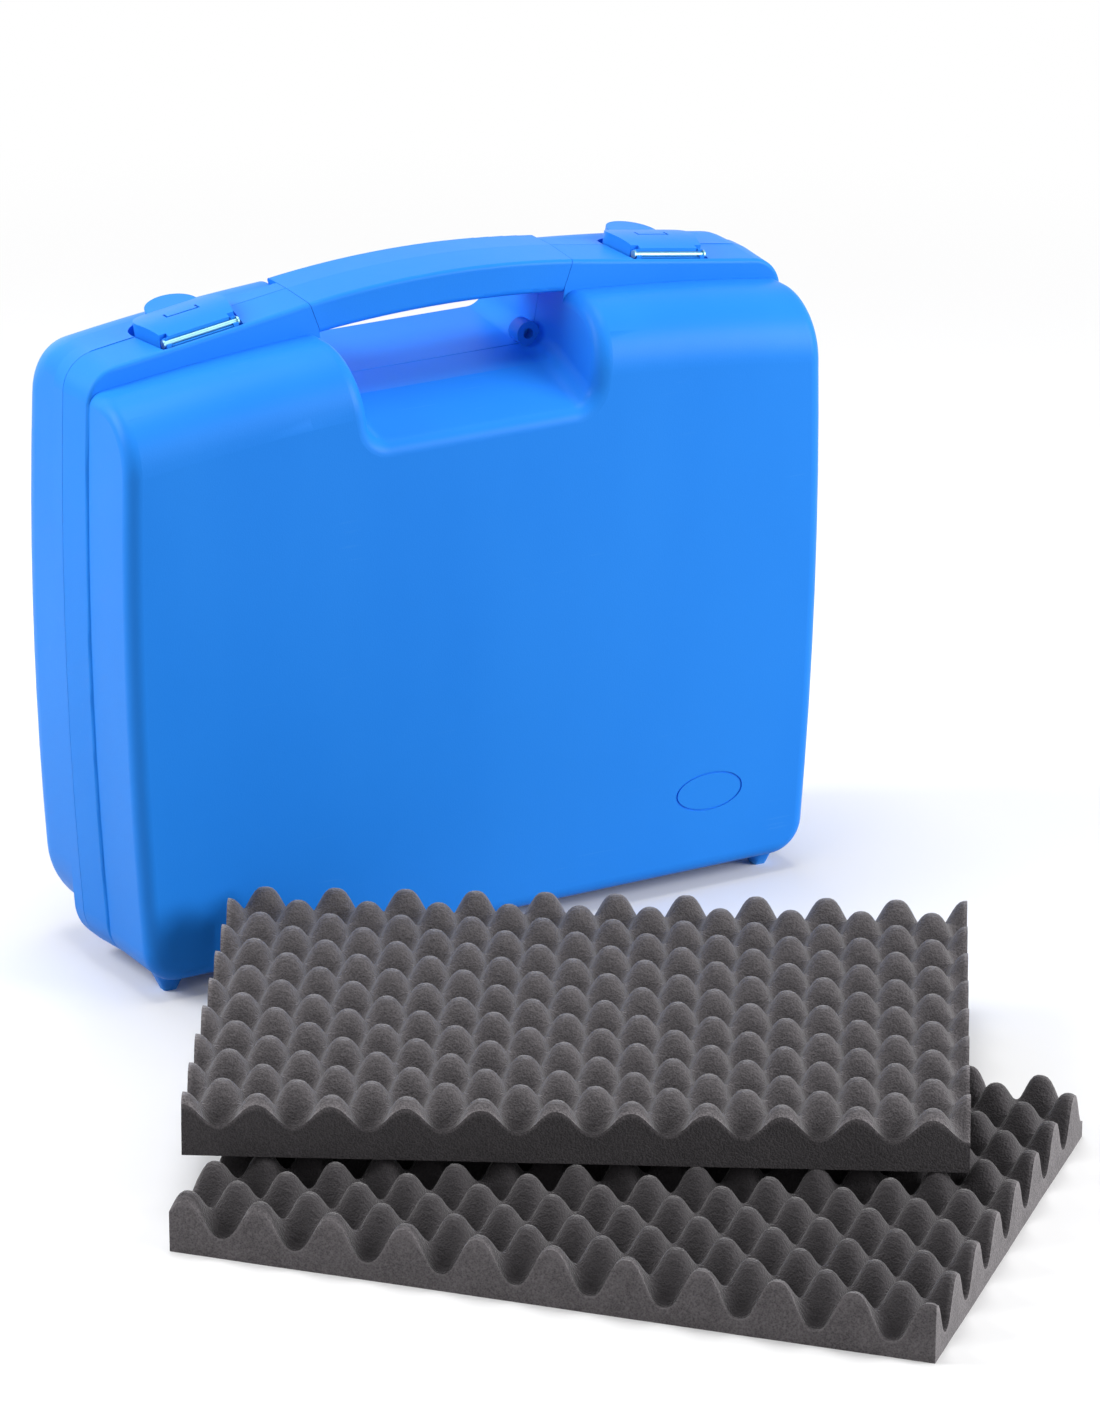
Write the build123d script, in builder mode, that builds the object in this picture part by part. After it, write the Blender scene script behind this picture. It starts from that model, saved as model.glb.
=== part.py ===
"""Hard plastic carry case for an otoscope, with its two loose egg-crate foam linings.

Millimetres, +Z up, +X to the right, the front of the case towards -Y. The shells meet on the plane
Y = 0 and the case stands on four feet on Z = 0, so the origin lies under the middle of the seam.
"""
from build123d import *
import os
from math import atan2, ceil, cos, radians, sin, sqrt

# ---- driving dimensions -------------------------------------------------------------------------
WALL = 2.6                      # moulded wall of both shells
SEAM = 0.3                      # open joint between the shells
FIT = 0.35                      # clearance between pieces that move past each other
SIDE_LOW = 165.0                # half width at the foot of the side, on the seam
SIDE_MID = 171.5                # half width at SIDE_MID_Z
SIDE_TOP = 170.6                # half width at RIM_CORNER_Z
SIDE_MID_Z = 110.0
SIDE_LEAN = 0.095               # slope of the side at its foot
RIM_BOTTOM = 5.0                # underside of the rim band on the seam
RIM_CORNER_Z = 275.0            # sharp upper corner of the rim before it is rounded
RIM_CORNER_R = 16.5
RIM_LOW_R = 21.0
GRIP_END_X = 65.0               # where the straight run passes into the arched grip
GRIP_END_Z = 290.5
GRIP_TOP_Z = 295.0
RIM_DEPTH = 20.8                # rim band in front of the seam
RIM_DRAFT = 4.0                 # draft of the rim band in degrees
RIM_EDGE_R = 2.0                # rounding of the band's front edge
FRONT_DEPTH = 58.0              # front face of the bulge from the seam
BULGE_INSET = 2.3               # bulge side inside the rim's side
BULGE_BOTTOM = 7.6
BULGE_LOW_R = 16.0
BULGE_TOP_Z = 277.5             # crest of the bulge's top on the centre line
FRONT_ARC_R = 1180.0            # radius of the front shell's top seen from the front
REAR_ARC_R = 1010.0
TOP_ARC = 28.0                  # degrees of those arcs, more than the case's width
TURNED_LOW = 60.0               # the turned form reaches this far below the floor
SHOULDER_R = 28.0               # big rounding between a shell's top and its face
BULGE_EDGE_R = 6.5              # rounding of the front's side and lower edges
REAR_BAND = 9.0                 # rim band behind the seam
REAR_DEPTH = 46.0               # rear face from the seam
REAR_INSET = 1.0
REAR_TOP_INSET = 1.8            # the rear shell's sides lean in this much more by their top
REAR_BOTTOM = 9.0
REAR_LOW_R = 36.0
REAR_TOP_Z = 289.5              # crest of the rear shell's top on the centre line
REAR_EDGE_R = 15.0              # rounding of the rear face's side edges
REAR_HEEL_R = 39.0              # big rounding between the rear face and the underside
HEEL_DIP = 0.5                  # the rounding would end this far below the underside
RECESS_FLOOR_Z = 248.0          # finger recess floor on the seam
RECESS_MID_Z = 245.4            # at the front of the rim band
RECESS_FRONT_Z = 233.6          # where the floor runs out of the front face
RECESS_REAR_Z = 252.2           # where the floor runs out of the rear face
RECESS_HALF = 53.0              # half width at the floor
RECESS_TOP_HALF = 60.2          # half width where the grip's joint lines start
GRIP_JOINT_Z = 277.6            # the walls below this height, the grip's joint lines above it
RECESS_CORNER_R = 9.0
GRIP_LOW_Z = 275.0              # underside of the grip at its ends
GRIP_LOW_HALF = 59.7
GRIP_MID_Z = 278.2              # underside of the grip in the middle
GRIP_REAR = 19.0                # grip behind the seam
GRIP_EDGE_R = 3.0
GRIP_GAP = 0.25                 # open joint at each end of the grip
LUG_DEPTH, LUG_WIDTH, LUG_HEIGHT = 9.0, 10.0, 6.0       # lugs that plug the grip into the front shell
LUG_X, LUG_Y, LUG_Z = 65.5, -10.0, 282.5
RECESS_EDGE_R = 7.0             # soft edge where the recess runs out of the bulge
BOSS_X, BOSS_Z, BOSS_R = 51.0, 253.5, 5.5               # ring boss in the recess's corner
BOSS_FRONT, BOSS_REAR, BOSS_BORE_R = 5.0, 3.0, 2.4
LATCH_X, LATCH_Y, LATCH_Z = 114.5, -16.6, 283.1         # middle of a latch's pin
PIN_R, PIN_HALF, PIN_HEAD_R, PIN_HEAD_T = 1.25, 17.2, 1.9, 0.9
PIN_CLEAR = 0.08                # running clearance of flaps and knuckles on their pins
FLAP_FRONT, FLAP_REAR, FLAP_LENGTH = 17.2, 24.0, 29.0   # half widths at pin and rear, length
FLAP_MID_RISE, FLAP_REAR_RISE = 5.2, 3.5                # top of the flap above the pin's axis
FLAP_CORNER_R = 11.0                                    # rounding of the flap's rear corners
BARREL_R, SKIRT_T, SKIRT_LOW = 2.5, 1.8, 2.6
KNUCKLE_FRONT, KNUCKLE_CUT_Z = 0.5, -0.75               # front edge of the flap behind the bare pin
POST_IN, POST_OUT = 14.9, 17.2                          # posts of the front shell that hold a pin
SLIT_HALF, SLIT_LEG, SLIT_W, SLIT_Y = 8.0, 3.6, 1.0, 14.6
LIP_R, LIP_T, LIP_LEAN, LIP_SHIFT = 11.9, 2.0, 4.0, 1.8     # half-round thumb lip of a flap
POCKET_NEAR_HALF, POCKET_FAR_HALF = 19.2, 25.6          # half widths of the pocket at pin and rear
POCKET_FRONT, POCKET_REAR, POCKET_CORNER_R = 2.7, 30.6, 11.0
POCKET_DEEP, POCKET_LINING = 4.6, 2.0
POCKET_OPEN = 9.0                                       # the pocket's tool clears the rim by this much
CATCH_Y, CATCH_R, CATCH_LENGTH = 25.8, 1.2, 22.0
HINGE_X, HINGE_Z, KNUCKLE_R = 105.0, 4.2, 3.9
HINGE_HALF, HINGE_SPLIT = 16.0, 8.0                     # half lengths of hinge and middle knuckle
HINGE_PIN_R = 2.0
TONGUE_T, TONGUE_DEPTH, TONGUE_TOP = 1.6, 4.0, 225.0    # tongue of the rear shell in the front one
FRONT_FOOT_X, FRONT_FOOT_Y = 148.0, -43.0
REAR_FOOT_X, REAR_FOOT_Y = 138.0, 24.0
FOOT_LENGTH, FOOT_WIDTH, FOOT_CORNER_R, FOOT_DRAFT = 6.0, 6.0, 1.5, 26.0
OVAL_X, OVAL_Z, OVAL_A, OVAL_B = 113.5, 46.0, 17.0, 9.0
OVAL_LINE, OVAL_DEEP = 0.9, 0.6
PAD_LENGTH, PAD_WIDTH, PAD_THICK = 315.0, 225.0, 25.0
LOWER_PAD_X, LOWER_PAD_Y, LOWER_PAD_TURN = -79.6, -323.3, -48.1
UPPER_PAD_X, UPPER_PAD_Y, UPPER_PAD_TURN = -54.0, -240.4, -32.4
CREST_PITCH = 30.0              # crests of the foam along its sides, in rows half as far apart
CREST_HALF = 2.5                # half the width of the flat that stands for a crest's round top
LOWER_GROOVE, UPPER_GROOVE = 12.8, 9.8                  # mean depth of the foam's hollows
LOWER_CREST, UPPER_CREST = (7.0, 0.0), (0.0, 0.0)       # first crest from the foam's corner


# ---- outlines seen from the front ---------------------------------------------------------------
def rim_outline(inset=0.0):
    """Outline of the rim on the seam, with its arched top, shrunk by inset all round."""
    with BuildSketch(Plane.XZ) as outline:
        with BuildLine():
            right = ThreePointArc((SIDE_LOW, RIM_BOTTOM), (SIDE_MID, SIDE_MID_Z), (SIDE_TOP, RIM_CORNER_Z))
            rise = Line(right @ 1, (GRIP_END_X, GRIP_END_Z))
            arch = ThreePointArc(rise @ 1, (0, GRIP_TOP_Z), (-GRIP_END_X, GRIP_END_Z))
            fall = Line(arch @ 1, (-SIDE_TOP, RIM_CORNER_Z))
            left = ThreePointArc(fall @ 1, (-SIDE_MID, SIDE_MID_Z), (-SIDE_LOW, RIM_BOTTOM))
            Line(left @ 1, right @ 0)
        make_face()
        fillet(outline.vertices().group_by(Axis.Y)[0], RIM_LOW_R)
        corners = outline.vertices().group_by(Axis.X)
        fillet(corners[0] + corners[-1], RIM_CORNER_R)
        if inset:
            offset(amount=-inset, kind=Kind.INTERSECTION)
    return outline.sketch


def body_outline(side, bottom, low_r, top_side=0.0):
    """Outline of a shell's sides and bottom inside the rim, left open upwards past its top."""
    with BuildSketch(Plane.XZ) as outline:
        with BuildLine():
            low = SIDE_LOW + SIDE_LEAN * (bottom - RIM_BOTTOM) - side
            mid = SIDE_MID - side
            high = SIDE_TOP - side - top_side
            right = ThreePointArc((low, bottom), (mid, SIDE_MID_Z), (high, RIM_CORNER_Z))
            Polyline(right @ 1, (high, GRIP_TOP_Z), (-high, GRIP_TOP_Z), (-high, RIM_CORNER_Z))
            left = ThreePointArc((-high, RIM_CORNER_Z), (-mid, SIDE_MID_Z), (-low, bottom))
            Line(left @ 1, right @ 0)
        make_face()
        fillet(outline.vertices().group_by(Axis.Y)[0], low_r)
    return outline.sketch


# ---- solid forms --------------------------------------------------------------------------------
def rim_band(inset):
    """Drafted band in front of the seam."""
    with BuildPart() as band:
        extrude(rim_outline(inset), amount=RIM_DEPTH - inset, taper=RIM_DRAFT)
        if not inset:
            fillet(band.faces().sort_by(Axis.Y)[0].edges(), RIM_EDGE_R)
    return band.part


def turned_body(crest_z, arc_r, face_y, inset, outline, edge_r):
    """Body with a turned top and shoulder, cut to an outline, with rounded edges round its face."""
    turn_z = crest_z - arc_r
    half_arc = radians(TOP_ARC / 2)
    start = Plane(origin=(0, 0, turn_z), x_dir=(0, 1, 0), z_dir=(cos(half_arc), 0, sin(half_arc)))
    top = arc_r - inset
    with BuildPart() as body:
        with BuildSketch(start) as profile:
            with BuildLine():
                low = -turn_z - TURNED_LOW
                Polyline((0, top), (face_y, top), (face_y, low), (0, low), close=True)
            make_face()
            shoulder = profile.vertices().group_by(Axis.Y)[-1].sort_by(lambda corner: abs(corner.X))[-1]
            fillet(shoulder, SHOULDER_R - inset)
        revolve(axis=Axis((0, 0, turn_z), (0, 1, 0)), revolution_arc=TOP_ARC)
        extrude(outline, amount=2 * FRONT_DEPTH, both=True, mode=Mode.INTERSECT)
        face = body.faces().sort_by(lambda side: abs(side.center().Y - face_y))[0]
        fillet(face.edges().sort_by(Axis.X)[0], edge_r - inset)
    return body.part


def front_bulge(inset):
    """Bulge of the front shell."""
    sides = body_outline(BULGE_INSET + inset, BULGE_BOTTOM + inset, BULGE_LOW_R - inset)
    return turned_body(BULGE_TOP_Z, FRONT_ARC_R, inset - FRONT_DEPTH, inset, sides, BULGE_EDGE_R)


def rear_body(inset):
    """Rear shell behind the seam: a shallow tray with a big round heel under its rear face."""
    sides = body_outline(REAR_INSET + inset, REAR_BOTTOM + inset, REAR_LOW_R - inset, REAR_TOP_INSET)
    with BuildPart() as body:
        add(turned_body(REAR_TOP_Z, REAR_ARC_R, REAR_DEPTH - inset, inset, sides, REAR_EDGE_R))
        with BuildSketch(Plane.YZ) as profile:
            with BuildLine():
                low, rear = REAR_BOTTOM + inset - HEEL_DIP, REAR_DEPTH - inset
                Polyline((-1, low), (rear, low), (rear, GRIP_TOP_Z), (-1, GRIP_TOP_Z), close=True)
            make_face()
            fillet(profile.vertices().sort_by(Axis.X)[-2:].sort_by(Axis.Y)[0], REAR_HEEL_R - inset)
        extrude(amount=2 * SIDE_MID, both=True, mode=Mode.INTERSECT)
    return body.part


def recess(floor, near_y, far_y, grow=0.0):
    """Finger recess between two depths over a floor given by (y, height) points, enlarged by grow."""
    flare = (RECESS_TOP_HALF - RECESS_HALF) / (GRIP_JOINT_Z - RECESS_FRONT_Z)
    joint_flare = (GRIP_END_X - RECESS_TOP_HALF) / (GRIP_END_Z - GRIP_JOINT_Z)
    low, top = RECESS_FRONT_Z - 20, GRIP_TOP_Z + 5
    low_half = RECESS_HALF - 20 * flare + grow
    top_half = RECESS_TOP_HALF + joint_flare * (top - GRIP_JOINT_Z) + grow
    mid_half = RECESS_TOP_HALF + grow
    with BuildPart() as tub:
        with BuildSketch(Plane.XZ.offset(-far_y)):
            Polygon(
                (-low_half, low), (low_half, low), (mid_half, GRIP_JOINT_Z), (top_half, top),
                (-top_half, top), (-mid_half, GRIP_JOINT_Z), align=None,
            )
        extrude(amount=far_y - near_y)
        with BuildSketch(Plane.YZ) as side_view:
            with BuildLine():
                path = Polyline(*[(y, z - grow) for y, z in floor])
                Polyline(path @ 1, (path.position_at(1).X, top), (path.position_at(0).X, top), path @ 0)
            make_face()
        extrude(amount=2 * GRIP_END_X, both=True, mode=Mode.INTERSECT)
        corners = tub.edges().filter_by(
            lambda edge: abs(edge.tangent_at(0.5).Y) > 0.9 and edge.center().Z < RECESS_REAR_Z + 1
        )
        fillet(corners, RECESS_CORNER_R + grow)
    return tub.part


def front_recess(grow=0.0):
    """Recess of the front shell, whose floor falls towards the front face."""
    slope = (RECESS_MID_Z - RECESS_FRONT_Z) / (FRONT_DEPTH - RIM_DEPTH)
    ahead = FRONT_DEPTH + 6
    floor = (
        (1, RECESS_FLOOR_Z),
        (-RIM_DEPTH, RECESS_MID_Z),
        (-ahead, RECESS_MID_Z - slope * (ahead - RIM_DEPTH)),
    )
    return recess(floor, -ahead, 1, grow)


def rear_recess(grow=0.0):
    """Recess of the rear shell, whose floor rises towards the rear face."""
    slope = (RECESS_REAR_Z - RECESS_FLOOR_Z) / REAR_DEPTH
    behind = REAR_DEPTH + 4
    floor = ((-1, RECESS_FLOOR_Z - slope), (behind, RECESS_FLOOR_Z + slope * behind))
    return recess(floor, -1, behind, grow)


# ---- latches, built about the pin's middle with X along the pin ---------------------------------
def latch_frame(side):
    """Frame of a latch, tilted with the straight run of the rim's top."""
    tilt = side * atan2(GRIP_END_Z - RIM_CORNER_Z, SIDE_TOP - GRIP_END_X)
    return Plane(
        origin=(side * LATCH_X, LATCH_Y, LATCH_Z),
        x_dir=(cos(tilt), 0, -sin(tilt)),
        z_dir=(sin(tilt), 0, cos(tilt)),
    )


def latch_pocket(grow=0.0):
    """Pocket in the rim's top under a flap, wider to the rear and open upwards."""
    near_half, far_half = POCKET_NEAR_HALF + grow, POCKET_FAR_HALF + grow
    front, rear = -POCKET_FRONT - grow, POCKET_REAR + grow
    with BuildPart() as pocket:
        with BuildSketch(Plane.XY.offset(-POCKET_DEEP - grow)) as plan:
            Polygon((-near_half, front), (near_half, front), (far_half, rear), (-far_half, rear), align=None)
            fillet(plan.vertices().group_by(Axis.Y)[-1], POCKET_CORNER_R + grow)
        extrude(amount=POCKET_DEEP + POCKET_OPEN)
    return pocket.part


def flap_profile(low):
    """Side view of a flap: an arched top over its pin, closed at the height low."""
    with BuildSketch(Plane.YZ) as profile:
        with BuildLine():
            top = ThreePointArc((0, BARREL_R), (FLAP_LENGTH / 2, FLAP_MID_RISE), (FLAP_LENGTH, FLAP_REAR_RISE))
            Polyline(top @ 1, (FLAP_LENGTH, low), (0, low), top @ 0)
        make_face()
    return profile.sketch


def latch_flap(side):
    """Flap with side skirts, a slit tongue and a half-round thumb lip towards the case's middle."""
    lean = radians(LIP_LEAN)
    lip_plane = Plane(
        origin=(-side * LIP_SHIFT, FLAP_LENGTH, FLAP_REAR_RISE - LIP_T),
        x_dir=(1, 0, 0),
        z_dir=(0, -sin(lean), cos(lean)),
    )
    with BuildPart() as flap:
        extrude(flap_profile(-SKIRT_LOW), amount=FLAP_REAR, both=True)
        with BuildSketch(Plane.XY.offset(-BARREL_R - 1)):
            Polygon(
                (-FLAP_FRONT, 0), (FLAP_FRONT, 0), (FLAP_REAR, FLAP_LENGTH), (-FLAP_REAR, FLAP_LENGTH),
                align=None,
            )
        extrude(amount=4 * BARREL_R, mode=Mode.INTERSECT)
        fillet(flap.edges().filter_by(Axis.Z).group_by(Axis.Y)[-1], FLAP_CORNER_R)
        with BuildSketch(Plane.YZ) as hollow:
            add(flap_profile(-SKIRT_LOW - 1))
            offset(amount=-SKIRT_T, kind=Kind.INTERSECTION)
            with Locations((FLAP_LENGTH / 2, -SKIRT_LOW)):
                Rectangle(FLAP_LENGTH - 2 * SKIRT_T, 2 * SKIRT_T)
        extrude(amount=FLAP_FRONT - SKIRT_T, both=True, mode=Mode.SUBTRACT)
        with BuildSketch(Plane.YZ):
            Circle(BARREL_R)
        extrude(amount=FLAP_FRONT, both=True)
        with BuildSketch(lip_plane):
            Circle(LIP_R)
            with Locations((0, -LIP_R - SKIRT_T)):
                Rectangle(2 * LIP_R, 2 * LIP_R, mode=Mode.SUBTRACT)
        extrude(amount=LIP_T)
        with BuildSketch(Plane.XY):
            with Locations((0, SLIT_Y)):
                Rectangle(2 * SLIT_HALF, SLIT_W)
            for x in (-SLIT_HALF + SLIT_W / 2, SLIT_HALF - SLIT_W / 2):
                with Locations((x, SLIT_Y + SLIT_LEG / 2)):
                    Rectangle(SLIT_W, SLIT_LEG)
        extrude(amount=3 * BARREL_R, mode=Mode.SUBTRACT)
        with BuildSketch(Plane.YZ):
            Circle(PIN_R + PIN_CLEAR)
        extrude(amount=FLAP_REAR, both=True, mode=Mode.SUBTRACT)
        with BuildSketch(Plane.YZ):
            with Locations((KNUCKLE_FRONT, KNUCKLE_CUT_Z)):
                Rectangle(2 * BARREL_R, 2 * BARREL_R, align=(Align.MAX, Align.MIN))
        extrude(amount=FLAP_REAR, both=True, mode=Mode.SUBTRACT)
        beside = (POST_IN - FIT + FLAP_REAR) / 2
        with Locations((-beside, 0, 0), (beside, 0, 0)):
            Box(FLAP_REAR - POST_IN + FIT, 2 * (BARREL_R + FIT), 4 * BARREL_R, mode=Mode.SUBTRACT)
    return flap.part


def pin_posts():
    """Two posts that rise from the pocket's floor and hold the ends of the pin."""
    with BuildPart() as posts:
        for low in (-POST_OUT, POST_IN):
            with BuildSketch(Plane.YZ.offset(low)):
                Circle(BARREL_R - 0.1)
                with Locations((0, -POCKET_DEEP / 2)):
                    Rectangle(2 * BARREL_R - 0.2, POCKET_DEEP)
                Circle(PIN_R, mode=Mode.SUBTRACT)
                with Locations((-BARREL_R, BARREL_R / 2)):
                    Rectangle(2 * BARREL_R, BARREL_R, mode=Mode.SUBTRACT)
            extrude(amount=POST_OUT - POST_IN)
    return posts.part


def latch_pin():
    """Bright pin with a small head at each end."""
    with BuildPart() as pin:
        with BuildSketch(Plane.YZ):
            Circle(PIN_R)
        extrude(amount=PIN_HALF, both=True)
        for x in (-PIN_HALF - PIN_HEAD_T, PIN_HALF):
            with BuildSketch(Plane.YZ.offset(x)):
                Circle(PIN_HEAD_R)
            extrude(amount=PIN_HEAD_T)
    return pin.part


# ---- hinge and feet -----------------------------------------------------------------------------
def hinge_barrel(low, high, radius):
    """Cylinder on the hinge's axis from low to high, measured from the hinge's middle."""
    with BuildPart() as barrel:
        with BuildSketch(Plane.YZ.offset(low)):
            with Locations((0, HINGE_Z)):
                Circle(radius)
        extrude(amount=high - low)
    return barrel.part


def foot(top):
    """Tapered foot standing on Z = 0."""
    with BuildPart() as block:
        with BuildSketch(Plane.XY):
            RectangleRounded(FOOT_LENGTH, FOOT_WIDTH, FOOT_CORNER_R)
        extrude(amount=top, taper=-FOOT_DRAFT)
    return block.part


# ---- foam ---------------------------------------------------------------------------------------
def egg_crate(groove, crest):
    """Foam block on Z = 0, cut into staggered crests by two crossing sets of slanting grooves."""
    spacing = CREST_PITCH / sqrt(2)
    count = ceil((PAD_LENGTH + PAD_WIDTH) / CREST_PITCH) + 1
    half = spacing / 2 - CREST_HALF
    corner = (crest[0] - PAD_LENGTH / 2, crest[1] - PAD_WIDTH / 2, PAD_THICK)
    with BuildPart() as pad:
        Box(PAD_LENGTH, PAD_WIDTH, PAD_THICK, align=(Align.CENTER, Align.CENTER, Align.MIN))
        for slant in (-1, 1):
            with BuildSketch(Plane(origin=corner, x_dir=(1, slant, 0), z_dir=(slant, -1, 0))):
                with Locations(*[((index + 0.5) * spacing, 0) for index in range(-count, count)]):
                    Polygon((-half, 0), (0, -groove), (half, 0), align=None)
            extrude(amount=PAD_LENGTH + PAD_WIDTH, both=True, mode=Mode.SUBTRACT)
    return pad.part


# ---- front shell --------------------------------------------------------------------------------
SIDES = (-1, 1)
latch_places = [latch_frame(side) for side in SIDES]
hinge_places = [(side * HINGE_X, 0, 0) for side in SIDES]
pocket_lining = latch_pocket(POCKET_LINING)
pocket = latch_pocket()

with BuildPart() as front_cavity:
    add(rim_band(WALL))
    add(front_bulge(WALL))
    add(front_recess(WALL), mode=Mode.SUBTRACT)
    with Locations(*latch_places):
        add(pocket_lining, mode=Mode.SUBTRACT)

with BuildPart() as front_shell:
    add(rim_band(0))
    add(front_bulge(0))
    add(front_recess(), mode=Mode.SUBTRACT)
    mouth = front_shell.edges().filter_by(
        lambda edge: edge.center().Y < -RIM_DEPTH - 4
        and abs(edge.center().X) < GRIP_END_X
        and edge.center().Z > RECESS_FRONT_Z - 2
        and edge.geom_type != GeomType.LINE
    )
    fillet(mouth, RECESS_EDGE_R)
    with Locations(*[(side * FRONT_FOOT_X, FRONT_FOOT_Y, 0) for side in SIDES]):
        add(foot(BULGE_BOTTOM + 1))
    add(front_cavity.part, mode=Mode.SUBTRACT)
    with Locations(*latch_places):
        add(pocket, mode=Mode.SUBTRACT)
    with Locations(*latch_places):
        add(pin_posts())
    with BuildSketch(Plane.XZ.offset(-BOSS_REAR)):
        with Locations((BOSS_X, BOSS_Z)):
            Circle(BOSS_R)
    extrude(amount=BOSS_REAR + BOSS_FRONT)
    with BuildSketch(Plane.XZ.offset(BOSS_FRONT)):
        with Locations((BOSS_X, BOSS_Z)):
            Circle(BOSS_BORE_R)
    extrude(amount=-BOSS_FRONT, mode=Mode.SUBTRACT)
    with BuildSketch(Plane.XZ.offset(FRONT_DEPTH + 1)):
        with Locations((OVAL_X, OVAL_Z)):
            Ellipse(OVAL_A, OVAL_B)
            Ellipse(OVAL_A - OVAL_LINE, OVAL_B - OVAL_LINE, mode=Mode.SUBTRACT)
    extrude(amount=-1 - OVAL_DEEP, mode=Mode.SUBTRACT)
    with Locations(*[(side * LUG_X, LUG_Y, LUG_Z) for side in SIDES]):
        Box(LUG_DEPTH, LUG_WIDTH, LUG_HEIGHT, mode=Mode.SUBTRACT)
    with Locations(*hinge_places):
        add(hinge_barrel(-HINGE_SPLIT, HINGE_SPLIT, KNUCKLE_R + FIT), mode=Mode.SUBTRACT)
    with Locations(*hinge_places):
        add(hinge_barrel(-HINGE_HALF, -HINGE_SPLIT, KNUCKLE_R))
        add(hinge_barrel(HINGE_SPLIT, HINGE_HALF, KNUCKLE_R))
    with Locations(*hinge_places):
        add(hinge_barrel(-HINGE_HALF, HINGE_HALF, HINGE_PIN_R), mode=Mode.SUBTRACT)
front_shell.part.label = "front_shell"

# ---- rear shell ---------------------------------------------------------------------------------
with BuildPart() as rear_cavity:
    add(rear_body(WALL))
    add(rear_recess(WALL), mode=Mode.SUBTRACT)
    with Locations(*latch_places):
        add(pocket_lining, mode=Mode.SUBTRACT)

with BuildPart() as tongue:
    extrude(rim_outline(WALL + FIT), amount=TONGUE_DEPTH, taper=RIM_DRAFT)
    extrude(rim_outline(WALL + FIT), amount=-WALL)
    extrude(rim_outline(WALL + FIT + TONGUE_T), amount=TONGUE_DEPTH, both=True, mode=Mode.SUBTRACT)
    split(bisect_by=Plane.XY.offset(TONGUE_TOP), keep=Keep.BOTTOM)
    with Locations(*hinge_places):
        add(hinge_barrel(-HINGE_HALF - 1, HINGE_HALF + 1, 3 * KNUCKLE_R), mode=Mode.SUBTRACT)

with BuildPart() as rear_shell:
    extrude(rim_outline(), amount=-REAR_BAND)
    add(rear_body(0))
    with Locations(*[(side * REAR_FOOT_X, REAR_FOOT_Y, 0) for side in SIDES]):
        add(foot(REAR_BOTTOM + 9))
    add(rear_cavity.part, mode=Mode.SUBTRACT)
    add(rear_recess(), mode=Mode.SUBTRACT)
    with Locations(*latch_places):
        add(pocket, mode=Mode.SUBTRACT)
    split(bisect_by=Plane.XZ.offset(-SEAM), keep=Keep.BOTTOM)
    add(tongue.part)
    with Locations(*latch_places):
        with Locations((0, CATCH_Y, -POCKET_DEEP)):
            Cylinder(CATCH_R, CATCH_LENGTH, rotation=(0, 90, 0))
    with BuildSketch(Plane.XZ.offset(-BOSS_REAR - FIT)):
        with Locations((BOSS_X, BOSS_Z)):
            Circle(BOSS_R + FIT)
    extrude(amount=BOSS_REAR + 1, mode=Mode.SUBTRACT)
    with Locations(*hinge_places):
        add(hinge_barrel(-HINGE_HALF - FIT, HINGE_HALF + FIT, KNUCKLE_R + FIT), mode=Mode.SUBTRACT)
    with Locations(*hinge_places):
        add(hinge_barrel(FIT - HINGE_SPLIT, HINGE_SPLIT - FIT, KNUCKLE_R))
        with Locations((0, HINGE_Z, RIM_BOTTOM + WALL / 2)):
            Box(2 * (HINGE_SPLIT - FIT), HINGE_Z, WALL)
    with Locations(*hinge_places):
        add(hinge_barrel(-HINGE_HALF, HINGE_HALF, HINGE_PIN_R + PIN_CLEAR), mode=Mode.SUBTRACT)
rear_shell.part.label = "rear_shell"

# ---- grip ---------------------------------------------------------------------------------------
with BuildPart() as grip:
    add(rim_band(0))
    extrude(rim_outline(), amount=-GRIP_REAR)
    fillet(grip.faces().sort_by(Axis.Y)[-1].edges(), GRIP_EDGE_R)
    with BuildSketch(Plane.XZ) as span:
        flare = (GRIP_END_X - RECESS_TOP_HALF) / (GRIP_END_Z - GRIP_JOINT_Z)
        low_half, mid_half = GRIP_LOW_HALF - GRIP_GAP, RECESS_TOP_HALF - GRIP_GAP
        top_half = mid_half + flare * (GRIP_TOP_Z + 5 - GRIP_JOINT_Z)
        with BuildLine():
            under = ThreePointArc((-low_half, GRIP_LOW_Z), (0, GRIP_MID_Z), (low_half, GRIP_LOW_Z))
            Polyline(
                under @ 1, (mid_half, GRIP_JOINT_Z), (top_half, GRIP_TOP_Z + 5),
                (-top_half, GRIP_TOP_Z + 5), (-mid_half, GRIP_JOINT_Z), under @ 0,
            )
        make_face()
    extrude(amount=2 * RIM_DEPTH, both=True, mode=Mode.INTERSECT)
    under_edges = grip.edges().filter_by(
        lambda edge: edge.center().Z < GRIP_MID_Z and abs(edge.tangent_at(0.5).X) > 0.9
    )
    fillet(under_edges, GRIP_EDGE_R)
    with Locations(*[(side * LUG_X, LUG_Y, LUG_Z) for side in SIDES]):
        Box(LUG_DEPTH, LUG_WIDTH, LUG_HEIGHT)
grip.part.label = "grip"

# ---- latches ------------------------------------------------------------------------------------
with BuildPart() as latch_flap_left:
    with Locations(latch_places[0]):
        add(latch_flap(SIDES[0]))
latch_flap_left.part.label = "latch_flap_left"

with BuildPart() as latch_flap_right:
    with Locations(latch_places[1]):
        add(latch_flap(SIDES[1]))
latch_flap_right.part.label = "latch_flap_right"

with BuildPart() as latch_pin_left:
    with Locations(latch_places[0]):
        add(latch_pin())
latch_pin_left.part.label = "latch_pin_left"

with BuildPart() as latch_pin_right:
    with Locations(latch_places[1]):
        add(latch_pin())
latch_pin_right.part.label = "latch_pin_right"

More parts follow.
